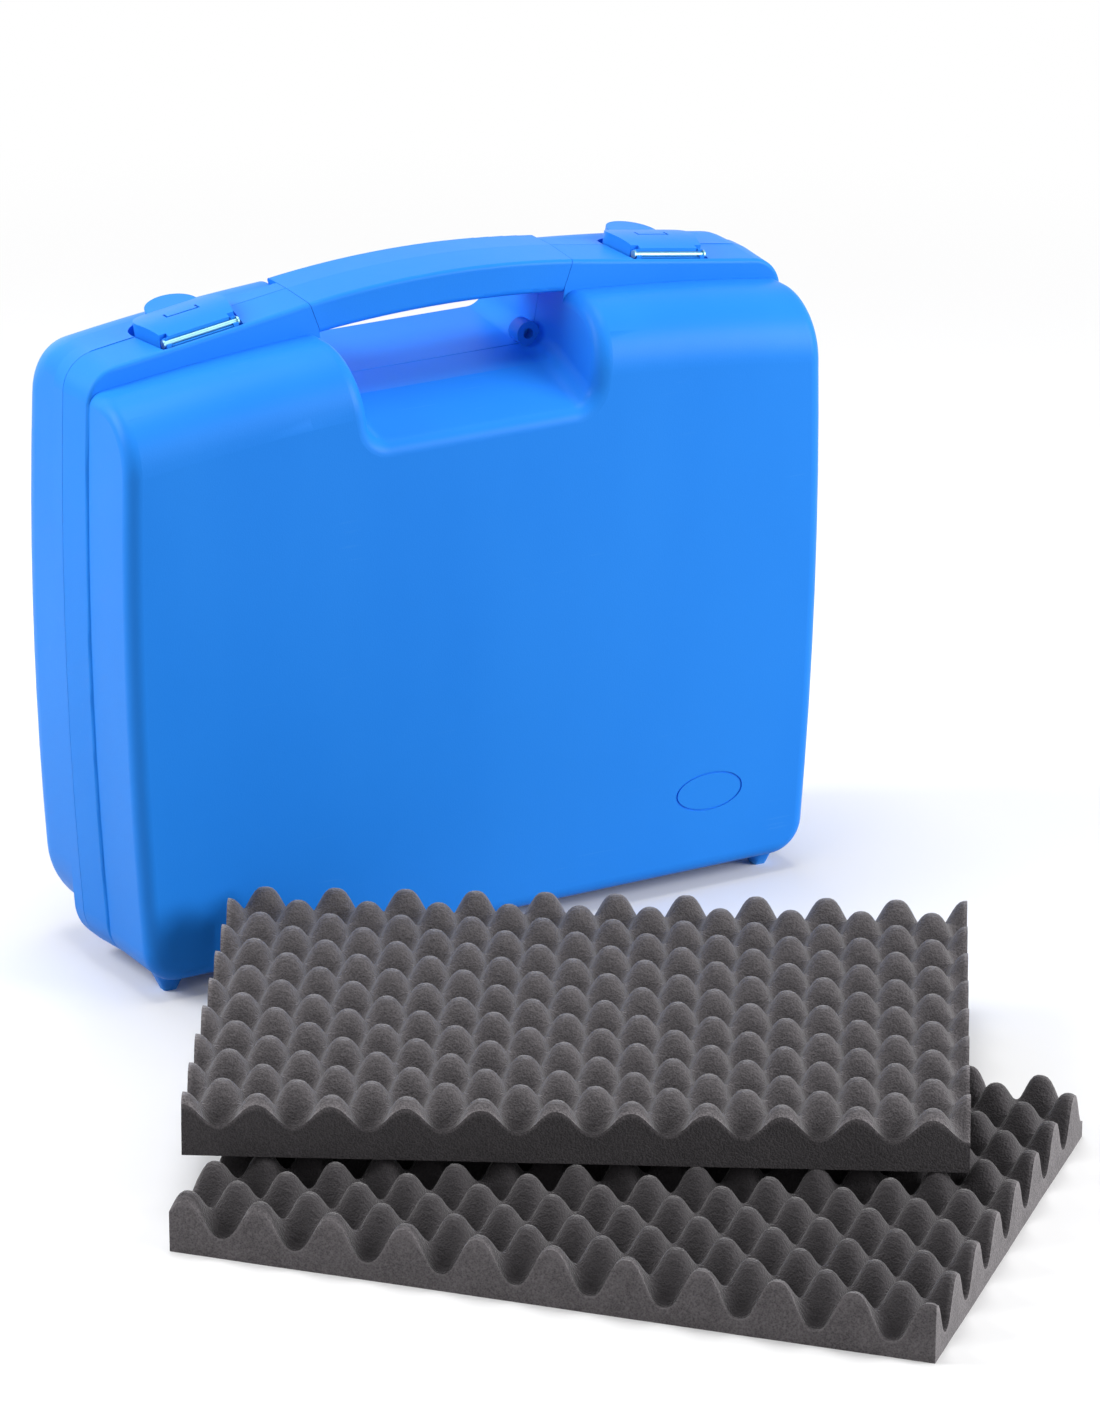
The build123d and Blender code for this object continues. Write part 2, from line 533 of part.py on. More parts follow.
# ---- hinge pins ---------------------------------------------------------------------------------
with BuildPart() as hinge_pin_left:
    with Locations(hinge_places[0]):
        add(hinge_barrel(-HINGE_HALF, HINGE_HALF, HINGE_PIN_R))
hinge_pin_left.part.label = "hinge_pin_left"

with BuildPart() as hinge_pin_right:
    with Locations(hinge_places[1]):
        add(hinge_barrel(-HINGE_HALF, HINGE_HALF, HINGE_PIN_R))
hinge_pin_right.part.label = "hinge_pin_right"

# ---- foam linings -------------------------------------------------------------------------------
with BuildPart() as lower_foam_pad:
    with Locations(Location((LOWER_PAD_X, LOWER_PAD_Y, 0), (0, 0, LOWER_PAD_TURN))):
        add(egg_crate(LOWER_GROOVE, LOWER_CREST))
lower_foam_pad.part.label = "lower_foam_pad"

with BuildPart() as upper_foam_pad:
    with Locations(Location((UPPER_PAD_X, UPPER_PAD_Y, PAD_THICK), (0, 0, UPPER_PAD_TURN))):
        add(egg_crate(UPPER_GROOVE, UPPER_CREST))
upper_foam_pad.part.label = "upper_foam_pad"

# ---- export -------------------------------------------------------------------------------------
os.makedirs("parts", exist_ok=True)
export_step(front_shell.part, "parts/front_shell.step")
export_step(rear_shell.part, "parts/rear_shell.step")
export_step(grip.part, "parts/grip.step")
export_step(latch_flap_left.part, "parts/latch_flap_left.step")
export_step(latch_flap_right.part, "parts/latch_flap_right.step")
export_step(latch_pin_left.part, "parts/latch_pin_left.step")
export_step(latch_pin_right.part, "parts/latch_pin_right.step")
export_step(hinge_pin_left.part, "parts/hinge_pin_left.step")
export_step(hinge_pin_right.part, "parts/hinge_pin_right.step")
export_step(lower_foam_pad.part, "parts/lower_foam_pad.step")
export_step(upper_foam_pad.part, "parts/upper_foam_pad.step")
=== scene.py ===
"""Looks of a hard carry case for an otoscope and its two loose egg-crate foam linings.

Metres, +Z up, +X to the right, the front of the case towards -Y. The shells, grip, latches and pins
keep their own solids and get their finishes here. The foam linings are built here in full.
"""

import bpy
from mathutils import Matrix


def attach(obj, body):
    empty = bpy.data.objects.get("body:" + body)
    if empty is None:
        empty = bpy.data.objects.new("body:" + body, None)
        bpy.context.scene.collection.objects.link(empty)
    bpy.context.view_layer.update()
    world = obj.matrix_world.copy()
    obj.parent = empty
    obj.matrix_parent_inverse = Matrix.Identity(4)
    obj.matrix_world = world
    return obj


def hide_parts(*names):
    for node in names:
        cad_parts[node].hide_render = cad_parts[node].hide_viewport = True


bl_info = {
    "name": "Otoscope Carry Case",
    "version": (1, 0, 0),
    "blender": (4, 5, 0),
    "location": "3D View > Sidebar > Carry Case",
    "description": "Finishes, foam linings and studio of a moulded carry case",
    "category": "Object",
}

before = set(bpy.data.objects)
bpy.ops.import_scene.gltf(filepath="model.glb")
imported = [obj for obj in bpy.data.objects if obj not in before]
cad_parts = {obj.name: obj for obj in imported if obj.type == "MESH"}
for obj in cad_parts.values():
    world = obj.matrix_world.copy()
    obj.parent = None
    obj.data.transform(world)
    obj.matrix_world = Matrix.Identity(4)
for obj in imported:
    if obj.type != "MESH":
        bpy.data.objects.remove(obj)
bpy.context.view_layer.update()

from math import cos, pi, radians, sin

import bmesh
import bpy
from bpy.props import FloatProperty, FloatVectorProperty, PointerProperty
from bpy.types import Operator, Panel, PropertyGroup
from mathutils import Matrix, Vector

# camera
IMAGE_HEIGHT = 1422                 # pixels
FOCAL_PIXELS = 7186                 # focal length in pixels of that height
SENSOR = 36.0                       # long side of the sensor, mm

# moulded plastic, m
FLOW_SIZE = 0.09                    # bands where the melt flowed
SKIN_SIZE = 0.006                   # patches of a slightly different shine
SCRATCH_SIZE = 0.0016               # spacing of the fine scratches
RUBBED_SIZE = 0.05                  # patches in which they show
SINK_SIZE, SINK_DEPTH = 0.035, 0.0004   # shallow waves of the cooled wall
FOOT_WEAR = (0.0005, 0.004)         # heights between which the wear of the feet fades out
GRIP_POLISH = 0.03                  # how much smoother than the shells the grip's mould is
LATCH_POLISH = 0.05                 # and the latches' mould

# pins, m
TARNISH_SIZE = 0.005                # duller patches

# foam linings: where each sheet lies and how its knobs are cut, and below it the painted light and
# shade of each sheet's top and cut sides.
# A sheet with no pitch of its own along X or Y takes the common one.
FOAM_SHEETS = {
    "lower": {
        "Place": (-0.0796, -0.3233, 0.0), "Turn": radians(-48.1), "Valley": 0.0065,
        "Pitch X": 0.0306, "Crest X": 0.0065, "Crest Y": 0.0, "Skew": 0.0045,
        "Slimness": 1.5, "Fullness": 1.55, "Seed": 3.0,
    },
    "upper": {
        "Place": (-0.054, -0.2404, 0.025), "Turn": radians(-32.4), "Valley": 0.0105,
        "Pitch Y": 0.0292, "Crest X": 0.0, "Crest Y": 0.0048, "Skew": 0.0,
        "Slimness": 1.6, "Fullness": 1.7, "Seed": 8.0,
    },
}
# painted light and shade of each sheet as (top, cut sides): the lower top darkened like a shadow of
# the upper sheet, the upper cut darkened as in shade, the lower cut lightened as if lit
FOAM_PAINTED_LIGHT_TONES = {"lower": (0.24, 1.25), "upper": (0.58, 0.38)}
FOAM_CLOUD_SIZE = 0.012             # soft patches of a slightly different tone, m
FOAM_LAYERS = 6                     # mesh points through the thickness of a sheet
SHARP_EDGE = 1.0                    # angle from which the block's edges stay sharp, radians
DRIFT_SIZE = 0.018                  # width of the dips in the cut surface, m
SWAY_SCALE = 28                     # ripples per metre in the cut edges
PULL_IN = (-0.003, -0.004, 0)       # narrows a sheet, so its rippled edges stay inside the block

# stage: size and place of each square lamp, and the point that they face
LAMPS = {
    "top": (1.4, (0, 0.1, 2.75)),
    "front": (1.4, (1.73, -1.73, 1.04)),
    "side": (0.6, (-0.9, 0.3, 0.75)),
    "rear": (1.4, (0, 2.45, 1.04)),
}
LIT_POINT = (0, -0.05, 0.15)
FLOOR_RADIUS = 14                   # m
FLOOR_CORNERS = 96
FLOOR_CLOUD_SIZE = 0.8              # faint patches of the floor, m


# ---- settings -----------------------------------------------------------------------------------
class ShellSettings(PropertyGroup):
    """Moulded plastic of the shells, grip and latches."""

    colour: FloatVectorProperty(
        name="Colour", description="Colour of the moulded plastic", subtype="COLOR",
        size=3, min=0, max=1, default=(0.017, 0.240, 0.87),
    )
    flow_colour: FloatVectorProperty(
        name="Flow Colour", description="Colour where the melt flowed thinner", subtype="COLOR",
        size=3, min=0, max=1, default=(0.021, 0.258, 0.90),
    )
    blush_colour: FloatVectorProperty(
        name="Blush Colour", description="Pale colour of rubbed and stressed plastic",
        subtype="COLOR", size=3, min=0, max=1, default=(0.13, 0.44, 0.95),
    )
    grain: FloatProperty(
        name="Grain", description="Size of the mould's fine texture", unit="LENGTH",
        default=0.0007, min=0.0001, max=0.01,
    )
    roughness: FloatProperty(
        name="Roughness", description="Roughness of the satin surface", subtype="FACTOR",
        default=0.40, min=0, max=1,
    )
    ior: FloatProperty(
        name="IOR", description="Refractive index of polypropylene", default=1.49, min=1, max=3,
    )
    shine: FloatProperty(
        name="Shine", description="Strength of the surface's plain reflection", subtype="FACTOR",
        default=0.12, min=0, max=1,
    )


class PinSettings(PropertyGroup):
    """Bright latch pins and plain hinge pins."""

    nickel: FloatVectorProperty(
        name="Nickel", description="Colour of the plated latch pins", subtype="COLOR",
        size=3, min=0, max=1, default=(0.25, 0.50, 0.58),
    )
    steel: FloatVectorProperty(
        name="Steel", description="Colour of the hinge pins", subtype="COLOR",
        size=3, min=0, max=1, default=(0.56, 0.57, 0.58),
    )
    nickel_roughness: FloatProperty(
        name="Nickel Roughness", description="Roughness of the latch pins", subtype="FACTOR",
        default=0.38, min=0, max=1,
    )
    steel_roughness: FloatProperty(
        name="Steel Roughness", description="Roughness of the hinge pins", subtype="FACTOR",
        default=0.34, min=0, max=1,
    )
    drawing: FloatProperty(
        name="Drawing Lines", description="Spacing of the wire's drawing lines", unit="LENGTH",
        default=0.0004, min=0.0001, max=0.01,
    )


class FoamSettings(PropertyGroup):
    """Egg-crate foam of the two linings."""

    length: FloatProperty(
        name="Length", description="Length of a sheet", unit="LENGTH",
        default=0.315, min=0.05, max=2,
    )
    width: FloatProperty(
        name="Width", description="Width of a sheet", unit="LENGTH",
        default=0.225, min=0.05, max=2,
    )
    thickness: FloatProperty(
        name="Thickness", description="Height of the crests above the sheet's underside",
        unit="LENGTH", default=0.025, min=0.005, max=0.2,
    )
    colour: FloatVectorProperty(
        name="Colour", description="Colour of the foam's skin", subtype="COLOR",
        size=3, min=0, max=1, default=(0.240, 0.222, 0.232),
    )
    cell_colour: FloatVectorProperty(
        name="Cell Colour", description="Colour inside the open cells", subtype="COLOR",
        size=3, min=0, max=1, default=(0.036, 0.033, 0.036),
    )
    cell: FloatProperty(
        name="Cell", description="Size of the foam's open cells", unit="LENGTH",
        default=0.0008, min=0.0002, max=0.01,
    )
    pitch: FloatProperty(
        name="Pitch", description="Distance between crests in one row", unit="LENGTH",
        default=0.030, min=0.005, max=0.2,
    )
    # width of the painted highlight, a paler band along the top of the cut edges
    rim: FloatProperty(
        name="Rim", description="Width of the frayed, paler rim along the cuts", unit="LENGTH",
        default=0.003, min=0.0005, max=0.02,
    )
    # strength of the painted highlight along the cut edges
    rim_highlight: FloatProperty(
        name="Rim Tone", description="How much paler the rim is", subtype="FACTOR",
        default=0.6, min=0, max=2,
    )
    step: FloatProperty(
        name="Step", description="Size of the mesh's squares", unit="LENGTH",
        default=0.0015, min=0.0005, max=0.01,
    )
    unevenness: FloatProperty(
        name="Unevenness", description="How far the cut surface wanders", unit="LENGTH",
        default=0.0006, min=0, max=0.01,
    )


class StageSettings(PropertyGroup):
    """Camera, lights and floor."""

    azimuth: FloatProperty(
        name="Azimuth", description="Camera's direction round the case", subtype="ANGLE",
        default=radians(-29.73),
    )
    elevation: FloatProperty(
        name="Elevation", description="Camera's height above the horizon", subtype="ANGLE",
        default=radians(20.81),
    )
    roll: FloatProperty(
        name="Roll", description="Camera's turn about its line of sight", subtype="ANGLE",
        default=radians(0.185),
    )
    distance: FloatProperty(
        name="Distance", description="Camera's distance from its aim", unit="LENGTH",
        default=3.2, min=0.5, max=20,
    )
    focal: FloatProperty(
        name="Focal Length", description="Camera's focal length in millimetres",
        default=FOCAL_PIXELS * SENSOR / IMAGE_HEIGHT, min=20, max=600,
    )
    aim: FloatVectorProperty(
        name="Aim", description="Point in the middle of the view", subtype="TRANSLATION",
        size=3, default=(0.0653, 0, 0.0736),
    )
    floor_colour: FloatVectorProperty(
        name="Floor Colour", description="Colour of the floor", subtype="COLOR",
        size=3, min=0, max=1, default=(0.93, 0.93, 0.935),
    )
    clear: FloatProperty(
        name="Clear", description="Distance at which the floor has turned white", unit="LENGTH",
        default=1.2, min=0.3, max=10,
    )
    sky: FloatProperty(
        name="Sky", description="Strength of the even light from all round",
        default=0.28, min=0, max=5,
    )
    top: FloatProperty(
        name="Top", description="Power of the large light overhead", unit="POWER",
        default=30, min=0, max=1000,
    )
    front: FloatProperty(
        name="Front", description="Power of the light in front on the right", unit="POWER",
        default=63, min=0, max=1000,
    )
    side: FloatProperty(
        name="Side", description="Power of the small light near the left side", unit="POWER",
        default=9.5, min=0, max=1000,
    )
    rear: FloatProperty(
        name="Rear", description="Power of the low light behind", unit="POWER",
        default=8, min=0, max=1000,
    )
    bounce: FloatProperty(
        name="Bounce", description="Share of its colour that the floor throws back on the case",
        subtype="FACTOR", default=0.45, min=0, max=1,
    )


# ---- node trees ---------------------------------------------------------------------------------
class Value:
    """Output of a node that takes part in plain arithmetic."""

    def __init__(self, tree, output):
        self.tree = tree
        self.output = output

    def maths(self, operation, *operands):
        """A Math node with these operands."""
        return self.tree.node("ShaderNodeMath", {"operation": operation}, dict(enumerate(operands)))

    def __add__(self, other):
        return self.maths("ADD", self, other)

    __radd__ = __add__

    def __sub__(self, other):
        return self.maths("SUBTRACT", self, other)

    def __rsub__(self, other):
        return self.maths("SUBTRACT", other, self)

    def __mul__(self, other):
        return self.maths("MULTIPLY", self, other)

    __rmul__ = __mul__

    def __truediv__(self, other):
        return self.maths("DIVIDE", self, other)

    def __pow__(self, other):
        return self.maths("POWER", self, other)

    def cosine(self):
        """Cosine of an angle."""
        return self.maths("COSINE", self)

    def size(self):
        """The value without its sign."""
        return self.maths("ABSOLUTE", self)

    def least(self, other):
        """The smaller of two values."""
        return self.maths("MINIMUM", self, other)

    def above(self, limit):
        """1 above the limit, else 0."""
        return self.maths("GREATER_THAN", self, limit)

    def below(self, limit):
        """1 below the limit, else 0."""
        return self.maths("LESS_THAN", self, limit)

    def rise(self, low, high):
        """Smooth step from 0 at low to 1 at high."""
        return self.tree.node(
            "ShaderNodeMapRange", {"interpolation_type": "SMOOTHSTEP"},
            {"Value": self, "From Min": low, "From Max": high},
        )


class Tree:
    """A node tree written one node at a time."""

    def __init__(self, nodes):
        self.nodes = nodes

    def plug(self, socket, value):
        """Links a Value to a socket, or sets the socket to a plain value."""
        if isinstance(value, Value):
            self.nodes.links.new(value.output, socket)
        elif socket.type == "RGBA":
            socket.default_value = (*tuple(value)[:3], 1)
        else:
            socket.default_value = value

    def node(self, kind, settings=None, inputs=None, output=0):
        """A node of this kind, its settings made first, and one of its outputs as a Value."""
        made = self.nodes.nodes.new(kind)
        for name, value in (settings or {}).items():
            setattr(made, name, value)
        for name, value in (inputs or {}).items():
            self.plug(made.inputs[name], value)
        return Value(self, made.outputs[output])

    def vector(self, operation, *operands):
        """Vector maths; a length comes out of the second output."""
        output = 1 if operation == "LENGTH" else 0
        operands = dict(enumerate(operands))
        return self.node("ShaderNodeVectorMath", {"operation": operation}, operands, output)

    def attribute(self, name):
        """A number stored on the mesh under this name."""
        return self.node("ShaderNodeAttribute", {"attribute_name": name}, output="Fac")

    def looking(self):
        """1 for what the camera sees directly, in a reflection or through something, else 0."""
        rays = self.nodes.nodes.new("ShaderNodeLightPath")
        kinds = ("Is Camera Ray", "Is Glossy Ray", "Is Transmission Ray")
        camera, glossy, transmission = (Value(self, rays.outputs[kind]) for kind in kinds)
        return (camera + glossy + transmission).above(0.5)

    def parts(self, vector):
        """X, Y and Z of a vector."""
        split = self.nodes.nodes.new("ShaderNodeSeparateXYZ")
        self.plug(split.inputs[0], vector)
        return [Value(self, output) for output in split.outputs]

    def noise(self, place, size, detail, roughness=0.5):
        """Noise whose features are about size metres across."""
        inputs = {"Vector": place, "Scale": 1 / size, "Detail": detail, "Roughness": roughness}
        return self.node("ShaderNodeTexNoise", None, inputs)


class Finish(Tree):
    """A procedural material on a Principled shader."""

    def __init__(self, name):
        self.material = bpy.data.materials.new(name)
        self.material.use_nodes = True
        super().__init__(self.material.node_tree)
        self.nodes.nodes.clear()
        self.shader = self.nodes.nodes.new("ShaderNodeBsdfPrincipled")
        self.end = self.nodes.nodes.new("ShaderNodeOutputMaterial")
        self.nodes.links.new(self.shader.outputs[0], self.end.inputs["Surface"])

    def place(self, stretch=(1, 1, 1)):
        """Position on the piece, shrunk along each axis by stretch."""
        where = self.node("ShaderNodeTexCoord", output="Object")
        if stretch == (1, 1, 1):
            return where
        return self.node("ShaderNodeMapping", None, {"Vector": where, "Scale": stretch})

    def mix(self, factor, first, second):
        """Colour between first and second."""
        made = self.nodes.nodes.new("ShaderNodeMix")
        made.data_type = "RGBA"
        for place, value in ((0, factor), (6, first), (7, second)):
            self.plug(made.inputs[place], value)
        return Value(self, made.outputs[2])

    def bump(self, height, distance, strength, under=None):
        """Normal bent by a height from 0 to 1 that stands for distance metres."""
        inputs = {"Height": height, "Distance": distance, "Strength": strength}
        if under is not None:
            inputs["Normal"] = under
        return self.node("ShaderNodeBump", None, inputs)

    def set(self, **inputs):
        """Sets the shader's own sockets, with _ for a space in their names."""
        for name, value in inputs.items():
            self.plug(self.shader.inputs[name.replace("_", " ")], value)
        return self.material


# ---- finishes -----------------------------------------------------------------------------------
def moulded_plastic(name, settings, polish=0.0):
    """Satin plastic with the mould's fine grain, faint flow marks and rubbed, paler places."""
    finish = Finish(name)
    place = finish.place()
    height = finish.parts(place)[2]
    flow = finish.noise(finish.place((1, 1, 0.35)), FLOW_SIZE, 3)
    grain = finish.noise(place, settings.grain, 1)
    skin = finish.noise(place, SKIN_SIZE, 3)
    scratches = finish.noise(finish.place((0.06, 1, 1)), SCRATCH_SIZE, 2)
    foot_wear = (1 - height.rise(*FOOT_WEAR)) * skin.rise(0.35, 0.6)
    streaks = scratches.rise(0.66, 0.74) * finish.noise(place, RUBBED_SIZE, 2).rise(0.5, 0.7)
    body = finish.mix(flow.rise(0.3, 0.7), settings.colour, settings.flow_colour)
    body = finish.mix(streaks * 0.10 + foot_wear * 0.55, body, settings.blush_colour)
    rough = settings.roughness - polish + (skin - 0.5) * 0.06 + foot_wear * 0.2 - streaks * 0.05
    relief = finish.bump(grain, settings.grain * 0.10, 0.5)
    relief = finish.bump(finish.noise(place, SINK_SIZE, 1), SINK_DEPTH, 0.25, relief)
    finish.set(IOR=settings.ior, Specular_IOR_Level=settings.shine)
    return finish.set(Base_Color=body, Roughness=rough, Normal=relief)


def drawn_wire(name, colour, roughness, lines):
    """Round wire with fine lines along its length and a slightly uneven shine."""
    finish = Finish(name)
    drawn = finish.noise(finish.place((0.04, 1, 1)), lines, 2)
    cloud = finish.noise(finish.place(), TARNISH_SIZE, 2)
    tone = finish.mix(cloud.rise(0.3, 0.7) * 0.35, colour, tuple(0.82 * part for part in colour))
    rough = roughness + (drawn - 0.5) * 0.12 + (cloud - 0.5) * 0.08
    relief = finish.bump(drawn, lines * 0.02, 0.15)
    return finish.set(Base_Color=tone, Roughness=rough, Metallic=1.0, Normal=relief)


def open_foam(name, settings, skin_painted_light, cut_painted_light):
    """Open-cell foam speckled by its cells, with painted light and shade: given tones on the top
    and on the cut sides, painted shade in the valleys and a painted highlight along the cut edges.
    """
    finish = Finish(name)
    place = finish.place()
    cells = finish.node(
        "ShaderNodeTexVoronoi", {"feature": "F1"}, {"Vector": place, "Scale": 1 / settings.cell},
        "Distance",
    )
    fine = finish.noise(place, settings.cell * 1.7, 2, 0.6)
    cloud = finish.noise(place, FOAM_CLOUD_SIZE, 3)
    # painted shade: the top darkened in the valleys between the crests and lower down, by the
    # stored crest height
    skin = skin_painted_light * (0.72 + 0.28 * finish.attribute("crest").rise(0.0, 0.9))
    # painted highlight: a paler band along the top edge of the cut sides
    painted_highlight = finish.attribute("rim").rise(0.15, 0.9) * finish.attribute("lift").rise(0.86, 0.97)
    # tone: the top and the cut sides in their painted light and shade, plus the painted highlight
    # along the cut edges
    tone = skin + finish.attribute("cut_face") * (cut_painted_light - skin) + painted_highlight * settings.rim_highlight
    grain = cells.rise(0.15, 0.75) * 0.27 + fine.rise(0.3, 0.7) * 0.21 + cloud.rise(0.3, 0.7) * 0.12
    shade = (grain + 0.2) * tone
    body = finish.mix(shade, settings.cell_colour, settings.colour)
    rough = 0.96 - fine * 0.08
    relief = finish.bump(cells, settings.cell * 0.5, 0.55)
    relief = finish.bump(fine, settings.cell * 0.8, 0.5, relief)
    finish.set(Sheen_Weight=0.4, Sheen_Roughness=0.4, Specular_IOR_Level=0.2)
    return finish.set(Base_Color=body, Roughness=rough, Normal=relief)


def floor_finish(colour, bounce, clear):
    """Pale matt floor that keeps its shadows near the case and turns plain white further out."""
    finish = Finish("studio_floor")
    place = finish.place()
    cloud = finish.noise(place, FLOOR_CLOUD_SIZE, 2)
    body = finish.mix(cloud, colour, tuple(0.995 * part for part in colour))
    body = finish.mix(finish.looking(), tuple(bounce * part for part in colour), body)
    finish.set(Base_Color=body, Roughness=0.85, Specular_IOR_Level=0.1)
    white = finish.node("ShaderNodeEmission", None, {"Color": (1, 1, 1), "Strength": 1.0})
    away = finish.vector("LENGTH", place).rise(0.5 * clear, clear) * finish.looking()
    shaded = Value(finish, finish.shader.outputs[0])
    both = finish.node("ShaderNodeMixShader", None, {0: away, 1: shaded, 2: white})
    finish.plug(finish.end.inputs["Surface"], both)
    return finish.material


# ---- shapes -------------------------------------------------------------------------------------
def egg_crate_tree():
    """Geometry nodes that cut a block of foam into staggered crests, turn it and lay it down."""
    group = bpy.data.node_groups.new("egg_crate_foam", "GeometryNodeTree")
    numbers = (
        "Length", "Width", "Thickness", "Valley", "Pitch X", "Pitch Y", "Crest X", "Crest Y",
        "Skew", "Slimness", "Fullness", "Step", "Unevenness", "Rim", "Turn", "Seed",
    )
    for name in numbers:
        group.interface.new_socket(name, in_out="INPUT", socket_type="NodeSocketFloat")
    group.interface.new_socket("Place", in_out="INPUT", socket_type="NodeSocketVector")
    group.interface.new_socket("Finish", in_out="INPUT", socket_type="NodeSocketMaterial")
    group.interface.new_socket("Mesh", in_out="OUTPUT", socket_type="NodeSocketGeometry")
    tree = Tree(group)
    entry = group.nodes.new("NodeGroupInput")
    given = {output.name: Value(tree, output) for output in entry.outputs if output.name}
    length, width, thickness, valley = (given[name] for name in numbers[:4])
    step = given["Step"]

    def store(geometry, name, value, domain="POINT"):
        """Keeps a number on the mesh for the finish to read."""
        return tree.node(
            "GeometryNodeStoreNamedAttribute", {"data_type": "FLOAT", "domain": domain},
            {"Geometry": geometry, "Name": name, "Value": value},
        )

    block = tree.node("GeometryNodeMeshCube", None, {
        "Size": tree.node("ShaderNodeCombineXYZ", None, {0: length, 1: width, 2: thickness}),
        "Vertices X": length / step + 1,
        "Vertices Y": width / step + 1,
        "Vertices Z": FOAM_LAYERS,
    })
    corner = tree.node("GeometryNodeInputMeshEdgeAngle").above(SHARP_EDGE)
    block = tree.node("GeometryNodeSetShadeSmooth", {"domain": "EDGE"}, {
        "Geometry": block, "Selection": corner, "Shade Smooth": False,
    })
    up = tree.parts(tree.node("GeometryNodeInputNormal"))[2]
    block = store(block, "cut_face", up.size().below(0.5), "FACE")

    where = tree.node("GeometryNodeInputPosition")
    x, y, z = tree.parts(where)
    share = z / thickness + 0.5
    along = x + length * 0.5
    rows = y + width * 0.5 - given["Crest Y"] - given["Skew"] * (1 - along / length)
    wave = ((along - given["Crest X"]) * (2 * pi) / given["Pitch X"]).cosine()
    wave = wave * (rows * (2 * pi) / given["Pitch Y"]).cosine()
    crest = 1 - (1 - (0.5 + wave * 0.5) ** given["Slimness"]) ** given["Fullness"]
    inset = (length * 0.5 - x.size()).least(width * 0.5 - y.size())
    # crest height times height up the sheet, which the foam finish reads for painted shade in the
    # valleys
    block = store(block, "crest", crest * share)
    block = store(block, "lift", share)
    # nearness to the cut edges, which the foam finish reads for its painted highlight
    block = store(block, "rim", 1 - inset / given["Rim"])
    top = valley + (thickness - valley) * crest
    seeded = tree.vector("ADD", where, tree.node("ShaderNodeCombineXYZ", None, {2: given["Seed"]}))
    drift = tree.noise(seeded, DRIFT_SIZE, 2)
    dip = (drift - 0.5) * 2 * given["Unevenness"]
    lowered = top - (dip.size() + dip) * 0.5
    ripples = {"Vector": seeded, "Scale": SWAY_SCALE, "Detail": 1}
    sway = tree.node("ShaderNodeTexNoise", None, ripples, "Color")
    sway = tree.vector("SUBTRACT", sway, (0.5, 0.5, 0.5))
    sway = tree.vector("MULTIPLY", sway, (1, 1, 0))
    sway = tree.node("ShaderNodeVectorMath", {"operation": "SCALE"}, {
        "Vector": sway, "Scale": given["Unevenness"],
    })
    inward = tree.vector("MULTIPLY", where, PULL_IN)
    shifted = tree.vector("ADD", tree.vector("ADD", where, sway), inward)
    flat = tree.vector("MULTIPLY", shifted, (1, 1, 0))
    rise = tree.node("ShaderNodeCombineXYZ", None, {2: share * lowered})
    lifted = tree.vector("ADD", flat, rise)
    block = tree.node("GeometryNodeSetPosition", None, {"Geometry": block, "Position": lifted})

    laid = tree.node("GeometryNodeTransform", None, {
        "Geometry": block,
        "Translation": given["Place"],
        "Rotation": tree.node("ShaderNodeCombineXYZ", None, {2: given["Turn"]}),
    })
    whole = tree.node("GeometryNodeRealizeInstances", None, {"Geometry": laid})
    dressed = tree.node("GeometryNodeSetMaterial", None, {
        "Geometry": whole, "Material": given["Finish"],
    })
    end = group.nodes.new("NodeGroupOutput")
    tree.plug(end.inputs["Mesh"], dressed)
    return group


def grow(name, group, inputs):
    """A plain mesh object grown by a geometry nodes group with these inputs."""
    seed_mesh = bpy.data.objects.new(name + "_source", bpy.data.meshes.new(name + "_source"))
    bpy.context.scene.collection.objects.link(seed_mesh)
    modifier = seed_mesh.modifiers.new("grow", "NODES")
    modifier.node_group = group
    for item in group.interface.items_tree:
        if item.in_out == "INPUT" and item.name in inputs:
            modifier[item.identifier] = inputs[item.name]
    bpy.context.view_layer.update()
    evaluated = seed_mesh.evaluated_get(bpy.context.evaluated_depsgraph_get())
    piece = bpy.data.objects.new(name, bpy.data.meshes.new_from_object(evaluated))
    bpy.context.scene.collection.objects.link(piece)
    seed_mesh.modifiers.remove(modifier)
    bpy.data.objects.remove(seed_mesh)
    return piece


def dress(nodes, material):
    """Gives CAD nodes a material."""
    for name in nodes:
        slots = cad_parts[name].data.materials
        slots.clear()
        slots.append(material)


# ---- operators ----------------------------------------------------------------------------------
class CASE_OT_shells(Operator):
    """Finish the two moulded shells"""

    bl_idname = "case.shells"
    bl_label = "Shells"

    def execute(self, context):
        plastic = moulded_plastic("shell_plastic", context.scene.case_shell)
        dress(("front_shell", "rear_shell"), plastic)
        return {"FINISHED"}


class CASE_OT_grip(Operator):
    """Finish the grip, a little smoother than the shells"""

    bl_idname = "case.grip"
    bl_label = "Grip"

    def execute(self, context):
        dress(("grip",), moulded_plastic("grip_plastic", context.scene.case_shell, GRIP_POLISH))
        return {"FINISHED"}


class CASE_OT_latches(Operator):
    """Finish the latch flaps and their bright pins"""

    bl_idname = "case.latches"
    bl_label = "Latches"

    def execute(self, context):
        pins = context.scene.case_pins
        plastic = moulded_plastic("latch_plastic", context.scene.case_shell, LATCH_POLISH)
        dress(("latch_flap_left", "latch_flap_right"), plastic)
        wire = drawn_wire("nickel_wire", tuple(pins.nickel), pins.nickel_roughness, pins.drawing)
        dress(("latch_pin_left", "latch_pin_right"), wire)
        return {"FINISHED"}


class CASE_OT_hinges(Operator):
    """Finish the hinge pins"""

    bl_idname = "case.hinges"
    bl_label = "Hinges"

    def execute(self, context):
        pins = context.scene.case_pins
        wire = drawn_wire("steel_wire", tuple(pins.steel), pins.steel_roughness, pins.drawing)
        dress(("hinge_pin_left", "hinge_pin_right"), wire)
        return {"FINISHED"}


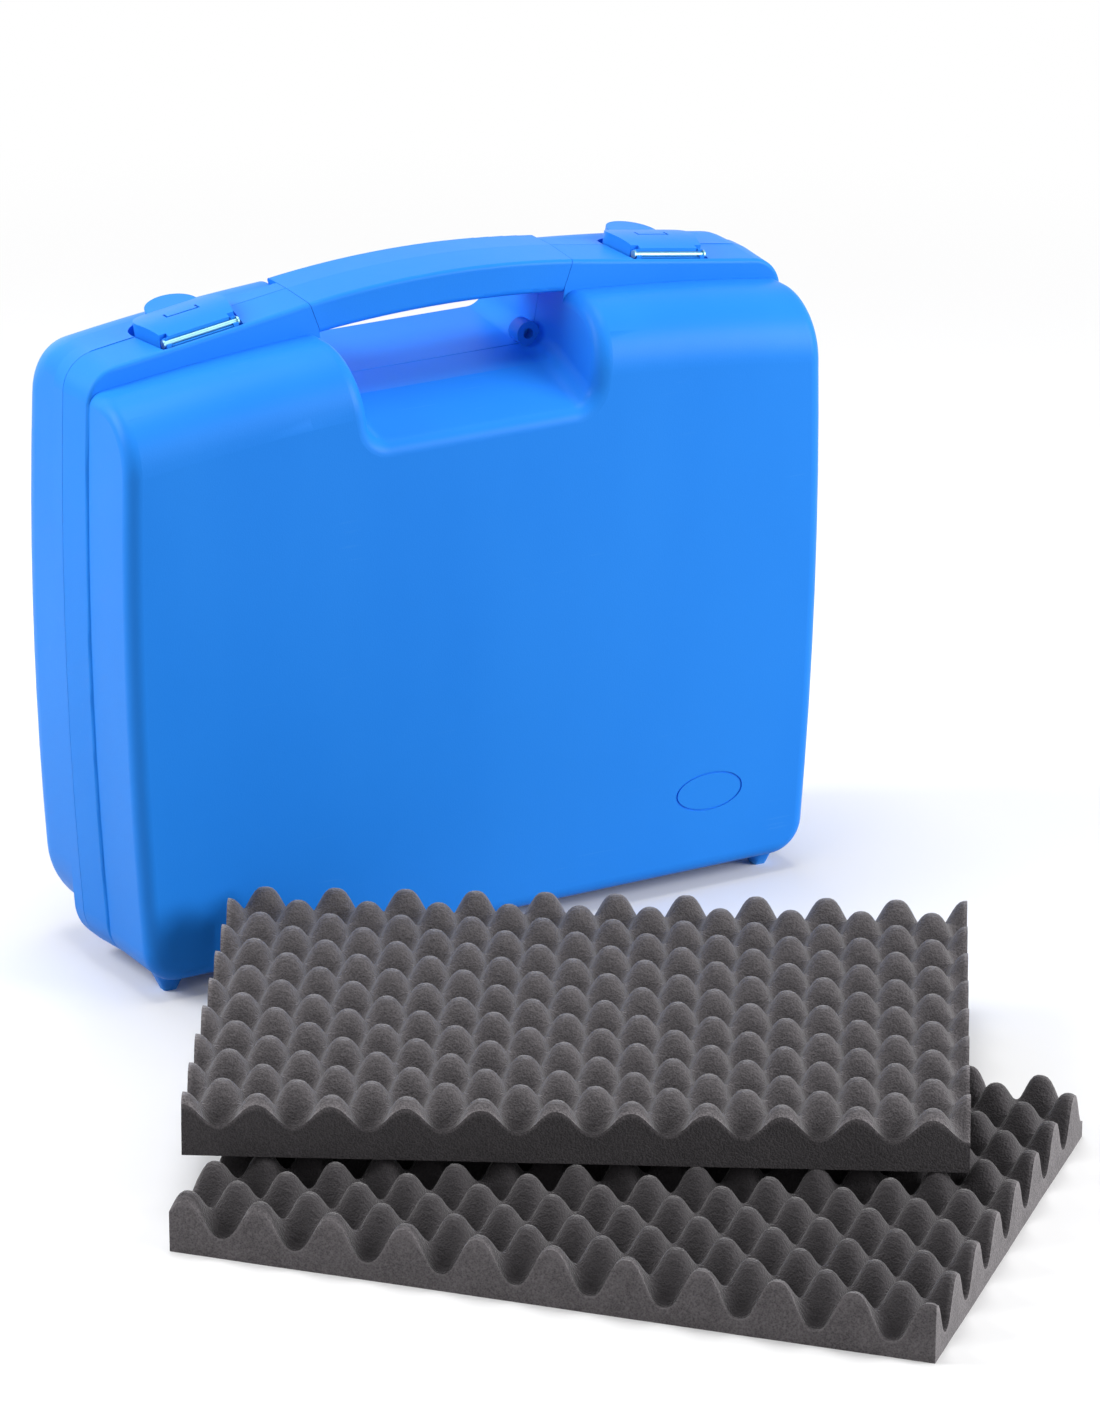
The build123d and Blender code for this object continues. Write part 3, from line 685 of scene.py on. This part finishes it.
class CASE_OT_foam(Operator):
    """Build the two egg-crate foam linings"""

    bl_idname = "case.foam"
    bl_label = "Foam Linings"

    def execute(self, context):
        foam = context.scene.case_foam
        group = egg_crate_tree()
        for side, sizes in FOAM_SHEETS.items():
            piece = grow("foam_lining_" + side, group, {
                "Length": foam.length, "Width": foam.width, "Thickness": foam.thickness,
                "Pitch X": foam.pitch, "Pitch Y": foam.pitch, "Step": foam.step,
                "Unevenness": foam.unevenness, "Rim": foam.rim, **sizes,
                "Finish": open_foam("foam_" + side, foam, *FOAM_PAINTED_LIGHT_TONES[side]),
            })
            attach(piece, side + "_pad")
            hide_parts(side + "_foam_pad")
        return {"FINISHED"}


class CASE_OT_stage(Operator):
    """Set up the floor, lights, background and camera"""

    bl_idname = "case.stage"
    bl_label = "Stage"

    def execute(self, context):
        stage = context.scene.case_stage
        mesh = bpy.data.meshes.new("floor")
        disc = bmesh.new()
        bmesh.ops.create_circle(disc, cap_ends=True, segments=FLOOR_CORNERS, radius=FLOOR_RADIUS)
        disc.to_mesh(mesh)
        disc.free()
        finish = floor_finish(tuple(stage.floor_colour), stage.bounce, stage.clear)
        mesh.materials.append(finish)
        floor = bpy.data.objects.new("floor", mesh)
        context.scene.collection.objects.link(floor)
        self.background(context, stage.sky)
        for name, (size, place) in LAMPS.items():
            self.lamp(context, name, getattr(stage, name), size, place)
        self.camera(context, stage)
        return {"FINISHED"}

    def background(self, context, strength):
        """Even light for the surfaces, white behind everything that looks at it."""
        world = bpy.data.worlds.new("studio")
        world.use_nodes = True
        context.scene.world = world
        tree = Tree(world.node_tree)
        tree.nodes.nodes.clear()
        light = tree.node("ShaderNodeBackground", None, {"Color": (1, 1, 1), "Strength": strength})
        white = tree.node("ShaderNodeBackground", None, {"Color": (1, 1, 1), "Strength": 1.0})
        both = tree.node("ShaderNodeMixShader", None, {0: tree.looking(), 1: light, 2: white})
        end = tree.nodes.nodes.new("ShaderNodeOutputWorld")
        tree.plug(end.inputs["Surface"], both)

    def lamp(self, context, name, power, size, place):
        """A square soft light that faces the case."""
        light = bpy.data.lights.new(name, "AREA")
        light.energy = power
        light.size = size
        lamp = bpy.data.objects.new(name, light)
        lamp.location = place
        facing = Vector(LIT_POINT) - Vector(place)
        lamp.rotation_euler = facing.to_track_quat("-Z", "Y").to_euler()
        context.scene.collection.objects.link(lamp)

    def camera(self, context, stage):
        """The camera, aimed and rolled."""
        turn, lift = stage.azimuth, stage.elevation
        back = Vector((sin(turn) * cos(lift), -cos(turn) * cos(lift), sin(lift)))
        right = Vector((cos(turn), sin(turn), 0))
        up = back.cross(right)
        tilted = right * cos(stage.roll) + up * sin(stage.roll)
        upright = back.cross(tilted)
        data = bpy.data.cameras.new("camera")
        data.sensor_width = SENSOR
        data.lens = stage.focal
        data.clip_start = 0.05
        data.clip_end = 60
        camera = bpy.data.objects.new("camera", data)
        facing = Matrix((tilted, upright, back)).transposed().to_4x4()
        camera.matrix_world = Matrix.Translation(Vector(stage.aim) + back * stage.distance) @ facing
        context.scene.collection.objects.link(camera)
        context.scene.camera = camera


class CASE_PT_panel(Panel):
    """Sidebar panel that lists the steps"""

    bl_label = "Carry Case"
    bl_space_type = "VIEW_3D"
    bl_region_type = "UI"
    bl_category = "Carry Case"

    def draw(self, context):
        for step in OPERATORS:
            self.layout.operator(step.bl_idname)


OPERATORS = (
    CASE_OT_shells, CASE_OT_grip, CASE_OT_latches, CASE_OT_hinges, CASE_OT_foam, CASE_OT_stage,
)
SETTINGS = {
    "case_shell": ShellSettings,
    "case_pins": PinSettings,
    "case_foam": FoamSettings,
    "case_stage": StageSettings,
}
CLASSES = (*SETTINGS.values(), *OPERATORS, CASE_PT_panel)


def register():
    """Registers the classes and hangs their settings on the scene."""
    for cls in CLASSES:
        bpy.utils.register_class(cls)
    for name, cls in SETTINGS.items():
        setattr(bpy.types.Scene, name, PointerProperty(type=cls))


def unregister():
    """Takes off what register put on."""
    for name in SETTINGS:
        delattr(bpy.types.Scene, name)
    for cls in reversed(CLASSES):
        bpy.utils.unregister_class(cls)


def main():
    """Builds every piece and the stage."""
    register()
    bpy.ops.case.shells()
    bpy.ops.case.grip()
    bpy.ops.case.latches()
    bpy.ops.case.hinges()
    bpy.ops.case.foam()
    bpy.ops.case.stage()
    bpy.context.scene.view_settings.view_transform = "Standard"


if __name__ == "__main__":
    main()
